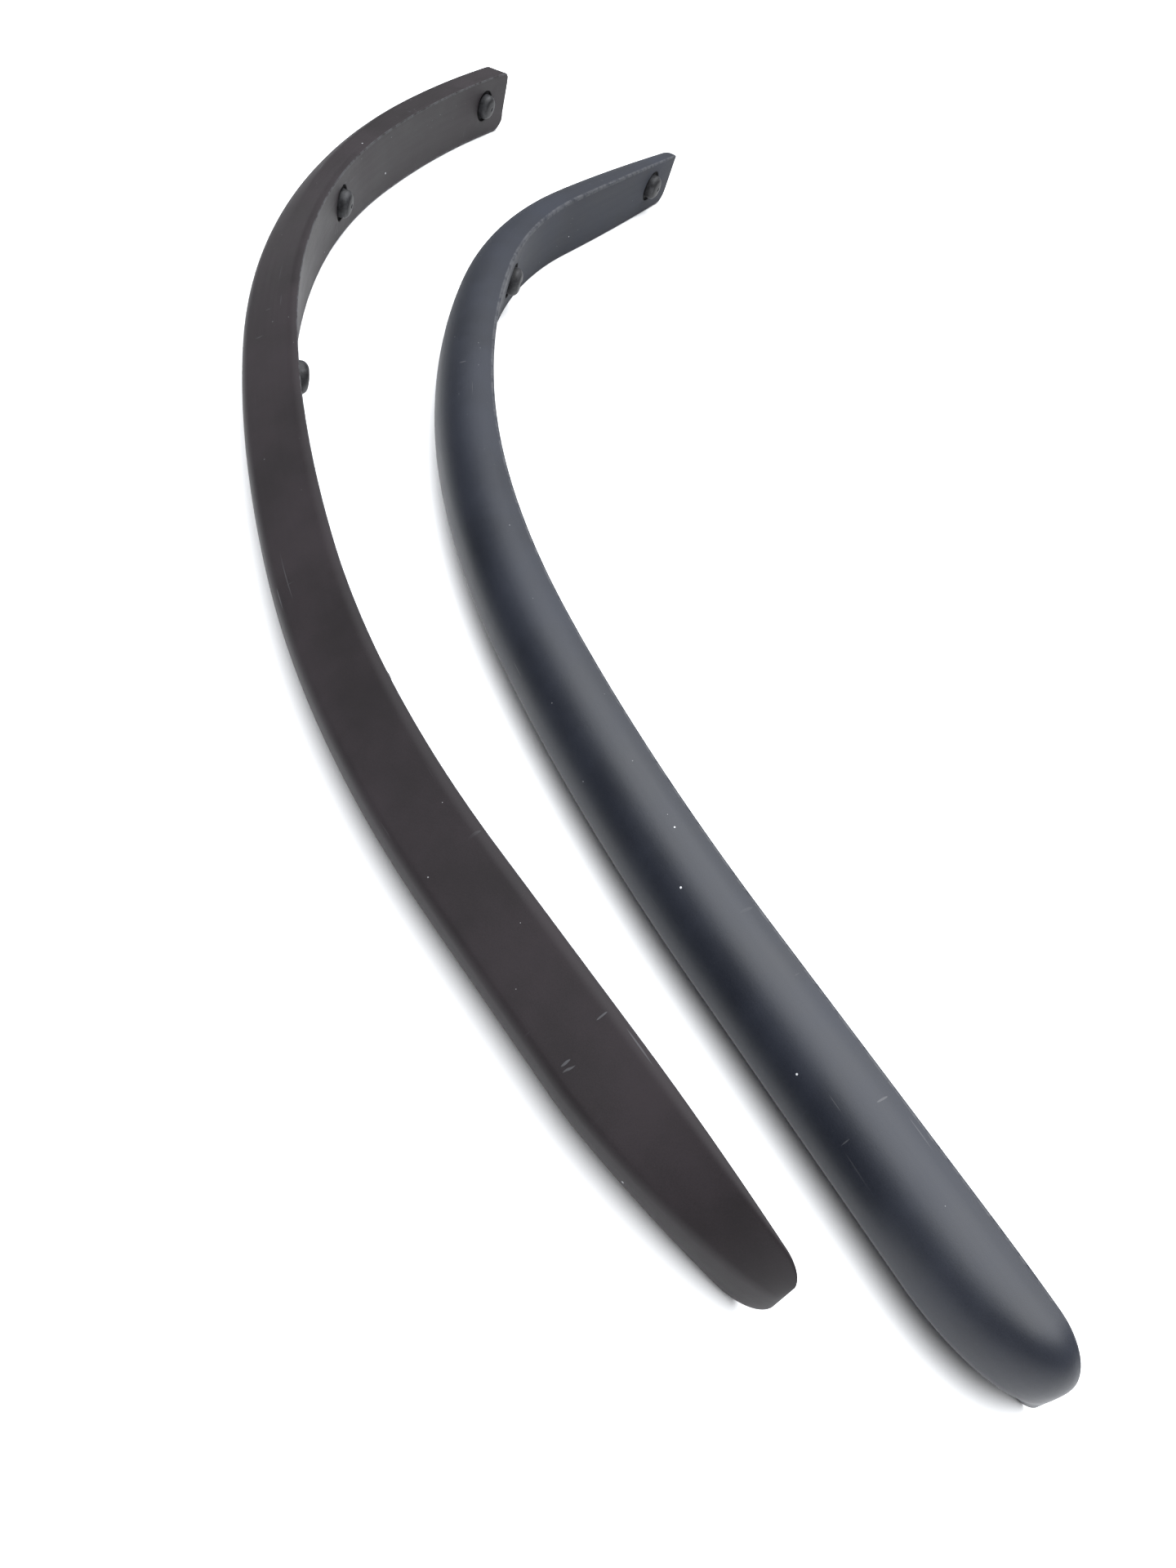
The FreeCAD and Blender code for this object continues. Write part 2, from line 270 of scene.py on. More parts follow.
def ringStations(side):
    # Distance along the strip of every ring, and its share of the section where the cut end closes.
    guard = guards[side]
    total = sum(guard["stretches"])
    start, end = guard["noseStart"], guard["noseLength"]
    turn = np.linspace(0.02, math.pi / 2, rings["nose"])
    nose = [start + (end - start) * (1 - math.cos(t)) for t in turn]
    edgeStart = total - rings["edgeRound"]
    longest = max(guard["tipThinRound"], guard["tipBroadRound"])
    corner = [total - longest * (1 - math.sin(t)) for t in np.linspace(0, math.pi / 2, rings["corner"])]
    fine = [spot + hand * gap for spot in guard["studs"] for gap in seatGrid() for hand in (-1, 1)]
    marks = sorted({round(d, 3) for d in fine + corner if d < edgeStart - 0.1} | {round(edgeStart, 3)})
    keep = [end]
    for mark in marks:
        if mark - keep[-1] < rings["leastGap"]:
            continue
        count = max(1, math.ceil((mark - keep[-1]) / rings["plainStep"]))
        keep += [keep[-1] + (mark - keep[-1]) * k / count for k in range(1, count + 1)]
    whole = [(d, 1.0) for d in nose[:-1] + keep]
    bend = np.linspace(0, math.pi / 2, rings["edge"])[1:]
    lessen = rings["edgeRound"] / rings["edgeReach"]
    edge = [(edgeStart + rings["edgeRound"] * math.sin(t), 1 - lessen * (1 - math.cos(t))) for t in bend]
    cap = [(total, (1 - lessen) * share) for share in np.linspace(1, 0.02, rings["cap"] + 1)[1:]]
    return whole + edge + cap


def roundedShare(gap, radius):
    # Share of the half height left by a rounded corner, this far from the end.
    short = np.clip(1 - gap / radius, 0, 1)
    return 1 - radius / (section["height"] / 2) * (1 - np.sqrt(1 - short ** 2))


def endShares(side, distance):
    # How much of the thickness and of both half heights is there, and how far the nose bends aside.
    guard = guards[side]
    total = sum(guard["stretches"])
    past = distance - guard["noseStart"]
    along = np.clip(past / (guard["noseLength"] - guard["noseStart"]), 0, 1)
    shape = guard["noseShape"]
    taper = np.clip((distance - total) / guard["taperLength"] + 1, 0, 1) ** guard["taperEase"]
    thick = (1 - (1 - along) ** shape) ** (1 / shape) * (1 - (1 - guard["tipThick"]) * taper)
    shares = [thick, guard["noseAside"] * (1 - along) ** 2]
    for edge in ("Thin", "Broad"):
        tip = np.minimum(1 - (1 - guard[f"tip{edge}"]) * taper,
                         roundedShare(total - distance, guard[f"tip{edge}Round"]))
        shares.append(roundedShare(past, guard[f"nose{edge}Round"]) * tip)
    return shares


def cornerCurve(before, after, size, steps):
    # Rounds the corner between two legs of the outline, and shortens both.
    def cut(leg, distance):
        gaps = np.linalg.norm(np.diff(leg, axis=0), axis=1)
        run = np.concatenate([[0], np.cumsum(gaps)])
        spot = np.array([np.interp(distance, run, leg[:, axis]) for axis in (0, 1)])
        return spot, leg[run > distance + 1e-6]
    corner = before[-1]
    start, kept = cut(before[::-1], size)
    stop, rest = cut(after, size)
    share = np.linspace(0, 1, steps)[:, None]
    curve = start * (1 - share) ** 2 + 2 * corner * share * (1 - share) + stop * share ** 2
    return kept[::-1], curve, rest


def stripOutline(side):
    # The section as points (out from the inner face, up from mid-height), broad edge down,
    # and for each point how strongly a corner there would wear.
    half = section["height"] / 2
    crown = section["crownLevel"] - half
    upper = section["height"] - section["crownLevel"]
    shoulder = section["thickness"] - upper
    slopeEnd = (section["slopeWidth"], section["slopeRise"] - half)
    bulge = section["thickness"] - section["slopeWidth"]
    rise = crown - slopeEnd[1]
    flank = (bulge ** 2 + rise ** 2) / (2 * bulge)

    def straight(a, b, step=section["step"]):
        count = max(2, math.ceil(math.dist(a, b) / step))
        return np.linspace(a, b, count + 1)

    def arc(centre, radius, first, last, step=section["step"]):
        count = math.ceil(radius * abs(last - first) / step)
        angles = np.linspace(first, last, count + 1)
        return np.column_stack([centre[0] + radius * np.cos(angles), centre[1] + radius * np.sin(angles)])

    ridge = (0.0, -half)
    foot = (section["footWidth"], -half)
    flat = straight(ridge, foot, 0.5)
    slope = straight(foot, slopeEnd)
    low = math.atan2(-rise, flank - bulge)
    outer = np.vstack([slope, arc((section["thickness"] - flank, crown), flank, low, 0, 0.7)[1:],
                       arc((shoulder, crown), upper, 0, math.pi / 2)[1:]])
    lip = straight((shoulder, half), (-section["lipLean"], half))
    outer = np.vstack([outer, lip[1:]])
    middle = -guards[side]["broadEdge"] * guards[side]["studRise"]
    heights = [middle + hand * gap for gap in seatGrid() for hand in (-1, 1)]
    reach = stud["gridReach"]
    heights += list(np.linspace(middle + reach, half, 4)) + list(np.linspace(middle - reach, -half, 4))
    heights = np.array(sorted({round(h, 4) for h in heights}, reverse=True))
    inner = np.column_stack([-section["lipLean"] * (heights + half) / section["height"], heights])
    steps = section["cornerSteps"]
    flat, footCurve, outer = cornerCurve(flat, outer, section["footRound"], steps)
    outer, lipCurve, inner = cornerCurve(outer, inner, section["lipRound"], steps)
    inner, ridgeCurve, flat = cornerCurve(inner, flat, section["ridgeRound"], steps)
    pieces = [(flat, 0.3), (footCurve, 0.3), (outer, 0.0), (lipCurve, 1.0), (inner, 0.0), (ridgeCurve, 1.0)]
    points = np.vstack([leg for leg, wear in pieces])
    wear = np.concatenate([np.full(len(leg), amount) for leg, amount in pieces])
    return points, wear


# The strip: a geometry tree sweeps its section along its line, then every ring gets its true size
# and the seats are sunk.

def storeNamed(tree, geometry, name, value, dataType="FLOAT"):
    node = addNode(tree, "GeometryNodeStoreNamedAttribute", data_type=dataType, domain="POINT")
    tree.links.new(geometry, node.inputs["Geometry"])
    node.inputs["Name"].default_value = name
    tree.links.new(value, next(s for s in node.inputs if s.name == "Value" and s.enabled))
    return node.outputs["Geometry"]


def shapeOf(tree, wanted):
    return addNode(tree, "GeometryNodeObjectInfo", {"Object": wanted}).outputs["Geometry"]


def sweepTree():
    inputs = [("Line", "NodeSocketObject", None), ("Section", "NodeSocketObject", None),
              ("Material", "NodeSocketMaterial", None)]
    outputs = [("Geometry", "NodeSocketGeometry")]
    tree, given, out = newGroup("stripSweep", "GeometryNodeTree", inputs, outputs)
    path = shapeOf(tree, given.outputs["Line"])
    outline = shapeOf(tree, given.outputs["Section"])
    radius = addNode(tree, "GeometryNodeInputRadius").outputs["Radius"]
    position = addNode(tree, "GeometryNodeInputPosition").outputs["Position"]
    path = storeNamed(tree, path, "ring", radius)
    outline = storeNamed(tree, outline, "sectionSpot", position, "FLOAT_VECTOR")
    outline = storeNamed(tree, outline, "edge", radius)
    swept = {"Curve": path, "Profile Curve": outline, "Scale": 1.0, "Fill Caps": True}
    skin = addNode(tree, "GeometryNodeCurveToMesh", swept).outputs["Mesh"]
    skin = addNode(tree, "GeometryNodeSetShadeSmooth", {"Geometry": skin}).outputs["Geometry"]
    skin = addNode(tree, "GeometryNodeRealizeInstances", {"Geometry": skin}).outputs["Geometry"]
    finished = {"Geometry": skin, "Material": given.outputs["Material"]}
    skin = addNode(tree, "GeometryNodeSetMaterial", finished).outputs["Geometry"]
    linkOut(tree, out, Geometry=skin)
    return tree


def readAttribute(mesh, name, kind="value", width=1):
    values = np.zeros(len(mesh.vertices) * width)
    mesh.attributes[name].data.foreach_get(kind, values)
    return values.reshape(-1, width) if width > 1 else values


def shapeStrip(mesh, side, stations):
    # Gives every ring its true size, and sinks a round seat and a bore at every stud. The square
    # grid beside a stud is first drawn into circles, so that the walls run true.
    guard = guards[side]
    ring = np.rint(readAttribute(mesh, "ring")).astype(int)
    spot = readAttribute(mesh, "sectionSpot", "vector", 3) / mm
    distance = np.array([d for d, share in stations])[ring]
    closing = np.array([share for d, share in stations])[ring]
    out, up = spot[:, 0], spot[:, 1]
    half = section["height"] / 2
    thick, aside, thin, broad = endShares(side, distance)
    lean = section["lipLean"] * (half + up) / section["height"]
    onFace = np.abs(out + lean) < 0.02
    held = stud["seatRadius"] + 0.8                 # heights this near a stud row stay as they are,
    most = 0.93                                     # up to this share of a half height cut by a corner
    middle = -guard["broadEdge"] * guard["studRise"]
    full = smooth((distance - guard["fullFrom"]) / (guard["fullTo"] - guard["fullFrom"]))
    up = fillBroadEdge(out, up, full)
    scaled = up * np.where(up > 0, thin, broad)
    holdThin = np.minimum(middle + held, half * thin * most)
    holdBroad = np.minimum(held - middle, half * broad * most)
    thinPart = holdThin + (up - holdThin) * (half * thin - holdThin) / (half - holdThin)
    broadPart = -holdBroad + (up + holdBroad) * (half * broad - holdBroad) / (half - holdBroad)
    steady = np.where(up > holdThin, thinPart, np.where(up < -holdBroad, broadPart, up))
    pastNose = distance > guard["noseLength"]
    level = np.where(onFace & pastNose, steady, scaled)
    across = out * thick + aside
    along = distance.copy()
    seat = np.ones(len(ring))
    bore, wall, reachEnd = stud["boreRadius"], stud["seatRadius"], stud["gridReach"]
    blendStart = wall + 0.6
    sunkAt = [bore - 0.15, bore + 0.15, wall - 0.45, wall - 0.12, wall + 0.15, wall + 0.55]
    sunkBy = [stud["boreDepth"], stud["seatDepth"], stud["seatDepth"], 0.4, 0.07, 0.0]
    for centre in guard["studs"]:
        ahead, above = distance - centre, up - middle
        reach = np.maximum(np.abs(ahead), np.abs(above))
        near = onFace & (reach < reachEnd + 0.01) & (closing > 0.999)
        beside = np.abs(ahead) >= np.abs(above)
        slant = np.where(beside, above / np.where(ahead == 0, 1, ahead),
                         ahead / np.where(above == 0, 1, above))
        angle = np.where(beside, np.where(ahead < 0, math.pi, 0) + math.pi / 4 * slant,
                         np.sign(above) * math.pi / 2 - math.pi / 4 * slant)
        square = smooth((reach - blendStart) / (reachEnd - blendStart))
        circleAlong, circleUp = reach * np.cos(angle), reach * np.sin(angle) + middle
        along[near] = (centre + circleAlong * (1 - square) + ahead * square)[near]
        level[near] = (circleUp * (1 - square) + level * square)[near]
        across[near] = (across + np.interp(reach, sunkAt, sunkBy))[near]
        seat[near] = np.clip(reach / reachEnd, 0, 1)[near]
    pivot = rings["capPivot"]
    across = pivot + (across - pivot) * closing
    level = level * closing
    points = place(side, along, across, -guard["broadEdge"] * level)
    mesh.vertices.foreach_set("co", points.ravel())
    unbent = np.column_stack([along, across, -guard["broadEdge"] * level]) * mm
    mesh.attributes.new("unbent", "FLOAT_VECTOR", "POINT").data.foreach_set("vector", unbent.ravel())
    mesh.attributes.new("seat", "FLOAT", "POINT").data.foreach_set("value", seat)
    mesh.attributes.remove(mesh.attributes["sectionSpot"])
    mesh.attributes.remove(mesh.attributes["ring"])
    mesh.update()


def fillBroadEdge(out, up, full):
    # Brings the slope of the broad edge out to a flat edge with a round flank, as far as full says.
    half = section["height"] / 2
    crown = section["crownLevel"] - half
    bulge = section["thickness"] - section["fullWidth"]
    rise = section["crownLevel"] - section["fullRise"]
    radius = (bulge ** 2 + rise ** 2) / (2 * bulge)
    sideways = out - section["thickness"] + radius
    flank = crown - np.sqrt(np.clip(radius ** 2 - sideways ** 2, 0, radius ** 2))
    flat = -half + section["fullRise"] * np.clip(out / section["fullWidth"], 0, 1)
    goal = np.where(out < section["fullWidth"], flat, np.maximum(flat, flank))
    sloping = (up < crown) & (out > section["footKept"])
    return np.where(sloping, up + (np.minimum(goal, up) - up) * full, up)


def makeStrip(side, tree, material):
    stations = ringStations(side)
    distances = [d for d, share in stations]
    flat = np.zeros(len(distances))
    closing = np.array([share for d, share in stations]) < 1
    spread = np.arange(len(distances)) * 1e-4 * closing       # no two points of the route coincide
    route = place(side, np.array(distances) + spread, flat, flat)
    path = polyCurve(f"{side}Route", route, np.arange(len(distances), dtype=float))
    outline, wear = stripOutline(side)
    drawn = np.column_stack([outline, np.zeros(len(outline))]) * mm
    profile = polyCurve(f"{side}Section", drawn, wear, cyclic=True)
    strip = runNodes(f"{side}_guard_strip", tree, Line=path, Section=profile, Material=material)
    shapeStrip(strip.data, side, stations)
    solid = bmesh.new()
    solid.from_mesh(strip.data)
    if solid.calc_volume(signed=True) < 0:
        bmesh.ops.reverse_faces(solid, faces=solid.faces)
    solid.to_mesh(strip.data)
    volume = solid.calc_volume() * 1e6
    solid.free()
    for helper in (path, profile):
        bpy.data.objects.remove(helper)
    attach(strip, f"{side}_guard")
    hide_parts(f"{side}_strip")
    print(f"{side} strip: {len(strip.data.polygons)} faces, {volume:.0f} cm3")


# The studs: one turned head, repeated along the inner face by a geometry tree.

def headProfile():
    # Radius and height from the strip's face, bottom of the shank to the middle of the head.
    rim, top = stud["headRim"], stud["headHeight"]
    outer, flat = stud["headRadius"], stud["headFlat"]
    shank, bottom = stud["shankRadius"], -stud["boreDepth"] + 0.1
    floor = -stud["seatDepth"] + 0.02
    rows = [(0.0, bottom), (shank - 0.7, bottom), (shank - 0.2, bottom + 0.2), (shank, bottom + 0.7)]
    rows += [(shank, bottom * 0.5), (shank, floor - 0.3), (shank + 0.1, floor), (outer - 0.5, floor)]
    rows += [(outer - 0.15, floor + 0.12), (outer, floor + 0.5), (outer, 0.4), (outer, rim - 0.3)]
    start, dome = rim - 0.3, top + 0.05 - rim
    for k in range(1, 12):
        t = k / 12 * math.pi / 2
        rows.append((flat + (outer - flat) * math.cos(t), start + dome * math.sin(t)))
    rows += [(flat, top - 0.22), (flat * 0.75, top - 0.1), (1.9, top), (1.45, top - 0.06), (1.2, top - 0.3)]
    rows += [(0.9, top - 0.38), (0.0, top - 0.4)]
    return rows


def makeHead():
    mesh = bpy.data.meshes.new("studHead")
    solid = bmesh.new()
    count = stud["segments"]
    angles = [2 * math.pi * k / count for k in range(count)]
    circles = []
    for radius, height in headProfile():
        around = angles if radius else [0]
        circle = [Vector((radius * math.cos(t), radius * math.sin(t), height)) * mm for t in around]
        circles.append([solid.verts.new(spot) for spot in circle])
    for lower, upper in zip(circles[:-1], circles[1:]):
        for k in range(count):
            following = (k + 1) % count
            corners = [lower[k % len(lower)], lower[following % len(lower)]]
            corners += [upper[following % len(upper)], upper[k % len(upper)]]
            solid.faces.new(list(dict.fromkeys(corners)))          # three corners at the axis
    bmesh.ops.recalc_face_normals(solid, faces=solid.faces)
    for face in solid.faces:
        face.smooth = True
    solid.to_mesh(mesh)
    solid.free()
    local = mesh.attributes.new("studSpot", "FLOAT_VECTOR", "POINT")
    local.data.foreach_set("vector", np.array([v.co for v in mesh.vertices]).ravel())
    head = bpy.data.objects.new("studHead", mesh)
    bpy.context.scene.collection.objects.link(head)
    return head


def studTree():
    # Spots holds one vertex per stud, whose x is the distance along the line.
    inputs = [("Line", "NodeSocketObject", None), ("Head", "NodeSocketObject", None),
              ("Spots", "NodeSocketObject", None), ("Proud", "NodeSocketFloat", 0.0),
              ("Rise", "NodeSocketFloat", 0.0), ("Seed", "NodeSocketInt", 3),
              ("Material", "NodeSocketMaterial", None)]
    outputs = [("Geometry", "NodeSocketGeometry")]
    tree, given, out = newGroup("studRow", "GeometryNodeTree", inputs, outputs)
    wanted = given.outputs
    path, head, spots = (shapeOf(tree, wanted[name]) for name in ("Line", "Head", "Spots"))
    position = addNode(tree, "GeometryNodeInputPosition").outputs["Position"]
    distance = addNode(tree, "ShaderNodeSeparateXYZ", {"Vector": position}).outputs["X"]
    sample = addNode(tree, "GeometryNodeSampleCurve", mode="LENGTH", data_type="FLOAT")
    tree.links.new(path, sample.inputs["Curves"])
    tree.links.new(distance, sample.inputs["Length"])
    facing = addNode(tree, "ShaderNodeVectorMath", operation="CROSS_PRODUCT")
    tree.links.new(sample.outputs["Tangent"], facing.inputs[0])
    facing.inputs[1].default_value = (0, 0, 1)
    aim = addNode(tree, "FunctionNodeAlignRotationToVector", {"Vector": facing.outputs[0]}, axis="Z")
    proud = addNode(tree, "ShaderNodeVectorMath", {0: facing.outputs[0]}, operation="SCALE")
    tree.links.new(wanted["Proud"], proud.inputs["Scale"])
    rise = addNode(tree, "ShaderNodeCombineXYZ", {"Z": wanted["Rise"]}).outputs["Vector"]
    offset = addNode(tree, "ShaderNodeVectorMath", {0: proud.outputs[0], 1: rise}, operation="ADD")
    row = addNode(tree, "GeometryNodeMeshToPoints", {"Mesh": spots}).outputs["Points"]
    row = storeNamed(tree, row, "aim", aim.outputs[0], "QUATERNION")
    row = addNode(tree, "GeometryNodeSetPosition", {
        "Geometry": row, "Position": sample.outputs["Position"], "Offset": offset.outputs[0],
    }).outputs["Geometry"]
    kept = addNode(tree, "GeometryNodeInputNamedAttribute", {"Name": "aim"}, data_type="QUATERNION")
    kept = next(s for s in kept.outputs if s.enabled)
    fullTurn = {3: 2 * math.pi, "Seed": wanted["Seed"]}            # 3 is the largest value
    chance = addNode(tree, "FunctionNodeRandomValue", fullTurn, data_type="FLOAT")
    chance = next(s for s in chance.outputs if s.enabled)
    spun = addNode(tree, "FunctionNodeAxisAngleToRotation", {"Axis": (0, 0, 1), "Angle": chance})
    turned = addNode(tree, "FunctionNodeRotateRotation", {
        "Rotation": kept, "Rotate By": spun.outputs[0],
    }, rotation_space="LOCAL")
    placed = addNode(tree, "GeometryNodeInstanceOnPoints", {
        "Points": row, "Instance": head, "Rotation": turned.outputs[0],
    }).outputs["Instances"]
    placed = addNode(tree, "GeometryNodeRealizeInstances", {"Geometry": placed}).outputs["Geometry"]
    placed = addNode(tree, "GeometryNodeSetMaterial", {"Geometry": placed, "Material": wanted["Material"]})
    linkOut(tree, out, Geometry=placed.outputs["Geometry"])
    return tree


def makeStuds(side, tree, head, material):
    guard = guards[side]
    total = sum(guard["stretches"])
    even = np.linspace(0, total, stud["linePoints"])
    path = polyCurve(f"{side}Line", place(side, even, even * 0, even * 0), np.ones(len(even)))
    marks = bpy.data.meshes.new("studSpots")
    marks.from_pydata([(spot * mm, 0, 0) for spot in guard["studs"]], [], [])
    spots = bpy.data.objects.new("studSpots", marks)
    bpy.context.scene.collection.objects.link(spots)
    studs = runNodes(f"{side}_guard_studs", tree, Line=path, Head=head, Spots=spots, Material=material,
                     Proud=section["lipLean"] / 2 * mm, Rise=guard["studRise"] * mm, Seed=3)
    for helper in (path, spots):
        bpy.data.objects.remove(helper)
    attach(studs, f"{side}_guard")
    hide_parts(*[f"{side}_stud_{number + 1}" for number in range(len(guard["studs"]))])
    print(f"{side} studs: {len(studs.data.polygons)} faces")


# Surface effects shared by the materials.

def grainGroup():
    inputs = [("Vector", "NodeSocketVector", None), ("Fine Scale", "NodeSocketFloat", 2400.0),
              ("Coarse Scale", "NodeSocketFloat", 420.0)]
    outputs = [("Height", "NodeSocketFloat"), ("Tone", "NodeSocketFloat")]
    tree, given, out = newGroup("mouldGrain", "ShaderNodeTree", inputs, outputs)
    vector = given.outputs["Vector"]
    fine = noise(tree, vector, given.outputs["Fine Scale"], 3.0, 0.65)
    coarse = noise(tree, vector, given.outputs["Coarse Scale"], 2.0)
    height = calc(tree, "MULTIPLY_ADD", coarse, 0.45, calc(tree, "MULTIPLY", fine, 0.55))
    patches = noise(tree, vector, 26.0, 3.0, 0.6)
    tone = calc(tree, "MULTIPLY_ADD", patches, 0.6, calc(tree, "MULTIPLY", fine, 0.4))
    linkOut(tree, out, Height=height, Tone=tone)
    return tree


def dustGroup():
    inputs = [("Vector", "NodeSocketVector", None), ("Scale", "NodeSocketFloat", 110.0),
              ("Size", "NodeSocketFloat", 0.05), ("Share", "NodeSocketFloat", 0.1)]
    tree, given, out = newGroup("dustSpecks", "ShaderNodeTree", inputs, [("Mask", "NodeSocketFloat")])
    cells = addNode(tree, "ShaderNodeTexVoronoi",
                    {"Vector": given.outputs["Vector"], "Scale": given.outputs["Scale"]})
    chance = addNode(tree, "ShaderNodeSeparateColor", {"Color": cells.outputs["Color"]}).outputs
    chosen = calc(tree, "LESS_THAN", chance["Red"], given.outputs["Share"])
    size = calc(tree, "MULTIPLY", given.outputs["Size"], calc(tree, "ADD", chance["Green"], 0.35))
    speck = calc(tree, "LESS_THAN", cells.outputs["Distance"], size)
    linkOut(tree, out, Mask=calc(tree, "MULTIPLY", speck, chosen))
    return tree


def scratchGroup():
    inputs = [("Vector", "NodeSocketVector", None), ("Stretch", "NodeSocketVector", (22.0, 700.0, 700.0)),
              ("Share", "NodeSocketFloat", 0.03)]
    tree, given, out = newGroup("fineScratches", "ShaderNodeTree", inputs, [("Mask", "NodeSocketFloat")])
    drawn = addNode(tree, "ShaderNodeVectorMath",
                    {0: given.outputs["Vector"], 1: given.outputs["Stretch"]}, operation="MULTIPLY")
    lines = noise(tree, drawn.outputs[0], 1.0, 1.0)
    low = calc(tree, "SUBTRACT", 0.76, given.outputs["Share"])
    sharp = remap(tree, lines, low, calc(tree, "ADD", low, 0.03))
    rare = remap(tree, noise(tree, given.outputs["Vector"], 17.0, 1.0), 0.5, 0.66)
    linkOut(tree, out, Mask=calc(tree, "MULTIPLY", sharp, rare))
    return tree


def wearGroup():
    inputs = [("Vector", "NodeSocketVector", None), ("Edge", "NodeSocketFloat", 0.0)]
    tree, given, out = newGroup("edgeWear", "ShaderNodeTree", inputs, [("Mask", "NodeSocketFloat")])
    rough = noise(tree, given.outputs["Vector"], 230.0, 4.0, 0.7)
    worn = remap(tree, calc(tree, "MULTIPLY", given.outputs["Edge"], rough), 0.32, 0.62)
    linkOut(tree, out, Mask=worn)
    return tree


def newMaterial(name):
    material = bpy.data.materials.new(name)
    material.use_nodes = True
    tree = material.node_tree
    tree.nodes.clear()
    shader = tree.nodes.new("ShaderNodeBsdfPrincipled")
    output = tree.nodes.new("ShaderNodeOutputMaterial")
    tree.links.new(shader.outputs["BSDF"], output.inputs["Surface"])
    return material, tree, shader


def setShader(tree, shader, colour, roughness, height, bump, bumpDepth):
    raised = addNode(tree, "ShaderNodeBump", {"Height": height, "Strength": bump, "Distance": bumpDepth})
    tree.links.new(colour, shader.inputs["Base Color"])
    tree.links.new(roughness, shader.inputs["Roughness"])
    tree.links.new(raised.outputs["Normal"], shader.inputs["Normal"])


# Both strips are one rubber. Their colours differ only as painted light: the left's are set darker and
# warmer as painted shade, the right's lighter and bluer as painted light.
rubber = {
    "left": {"dark": (0.0080, 0.0060, 0.0072, 1), "light": (0.0150, 0.0112, 0.0136, 1),
             "roughness": (0.50, 0.62), "specular": 0.23, "dull": (0.45, 0.85, 0.0)},
    "right": {"dark": (0.0070, 0.0088, 0.0145, 1), "light": (0.0125, 0.0152, 0.0240, 1),
              "roughness": (0.38, 0.50), "specular": 0.4, "dull": (0.40, 0.70, 0.34)},
    "worn": (0.075, 0.076, 0.082, 1),
    "dust": (0.55, 0.56, 0.58, 1),
    "seatShade": (0.002, 0.002, 0.0022, 1),      # painted shade: near-black inside the seats around the studs
}


def mouldedRubber(groups, side):
    material, tree, shader = newMaterial(f"{side}Rubber")
    sideFinishAndPaintedLight = rubber[side]
    unbent = addNode(tree, "ShaderNodeAttribute", attribute_name="unbent").outputs["Vector"]
    edge = addNode(tree, "ShaderNodeAttribute", attribute_name="edge").outputs["Fac"]
    seat = addNode(tree, "ShaderNodeAttribute", attribute_name="seat").outputs["Fac"]
    grain = useGroup(tree, groups["grain"], Vector=unbent)
    drawn = noise(tree, stretch(tree, unbent, (14.0, 420.0, 420.0)), 1.0, 3.0)     # marks left by pulling
    dust = useGroup(tree, groups["dust"], Vector=unbent, Scale=95.0, Size=0.045, Share=0.10)["Mask"]
    fineDust = useGroup(tree, groups["dust"], Vector=unbent, Scale=420.0, Size=0.09, Share=0.035)["Mask"]
    scratch = useGroup(tree, groups["scratch"], Vector=unbent)["Mask"]
    crossing = useGroup(tree, groups["scratch"], Vector=unbent, Stretch=(500.0, 90.0, 60.0), Share=0.01)
    wear = useGroup(tree, groups["wear"], Vector=unbent, Edge=edge)["Mask"]
    # Painted light: each side's pair of colours is tinted to how that strip is lit, darker and warmer on the
    # left, lighter and bluer on the right.
    colour = mixColour(tree, remap(tree, grain["Tone"], 0.35, 0.65), sideFinishAndPaintedLight["dark"], sideFinishAndPaintedLight["light"])
    colour = mixColour(tree, calc(tree, "MULTIPLY", wear, 0.55), colour, rubber["worn"])
    crossed = calc(tree, "MULTIPLY", crossing["Mask"], 0.6)
    marks = calc(tree, "MAXIMUM", calc(tree, "MULTIPLY", scratch, 0.5), crossed)
    colour = mixColour(tree, marks, colour, rubber["worn"])
    # Painted shade: inside the wall of each stud's seat the colour turns near-black and rougher.
    paintedSeatShade = remap(tree, seat, 0.80, 0.74, 0.0, 0.95)
    colour = mixColour(tree, paintedSeatShade, colour, rubber["seatShade"])
    specks = calc(tree, "MAXIMUM", dust, calc(tree, "MULTIPLY", fineDust, 0.3))
    colour = mixColour(tree, specks, colour, rubber["dust"])
    low, high = sideFinishAndPaintedLight["roughness"]
    rough = remap(tree, grain["Tone"], 0.3, 0.7, low, high, "LINEAR")
    rough = calc(tree, "MULTIPLY_ADD", drawn, 0.06, rough)
    along = addNode(tree, "ShaderNodeSeparateXYZ", {"Vector": unbent}).outputs["X"]
    start, stop, extra = sideFinishAndPaintedLight["dull"]         # duller from one distance to the next, by this much
    rough = calc(tree, "ADD", remap(tree, along, start, stop, 0.0, extra), rough)
    rough = calc(tree, "MULTIPLY_ADD", paintedSeatShade, 0.4, rough)
    rough = calc(tree, "MULTIPLY_ADD", specks, 0.3, rough, clamp=True)
    height = calc(tree, "MULTIPLY_ADD", drawn, 0.35, grain["Height"])
    height = calc(tree, "MULTIPLY_ADD", marks, -0.8, height)
    height = calc(tree, "MULTIPLY_ADD", specks, 1.2, height)
    setShader(tree, shader, colour, rough, height, 0.35, 0.00012)
    shader.inputs["Specular IOR Level"].default_value = sideFinishAndPaintedLight["specular"]
    return material


studFinish = {
    "dark": (0.0060, 0.0061, 0.0070, 1), "light": (0.0105, 0.0107, 0.0120, 1),
    "roughness": (0.46, 0.60), "specular": 0.28,
    "rim": (0.0050, 0.0068),        # worn from here to here, out from the axis, in metres
    "turning": 9000.0,              # how close the turned mould marks lie
}


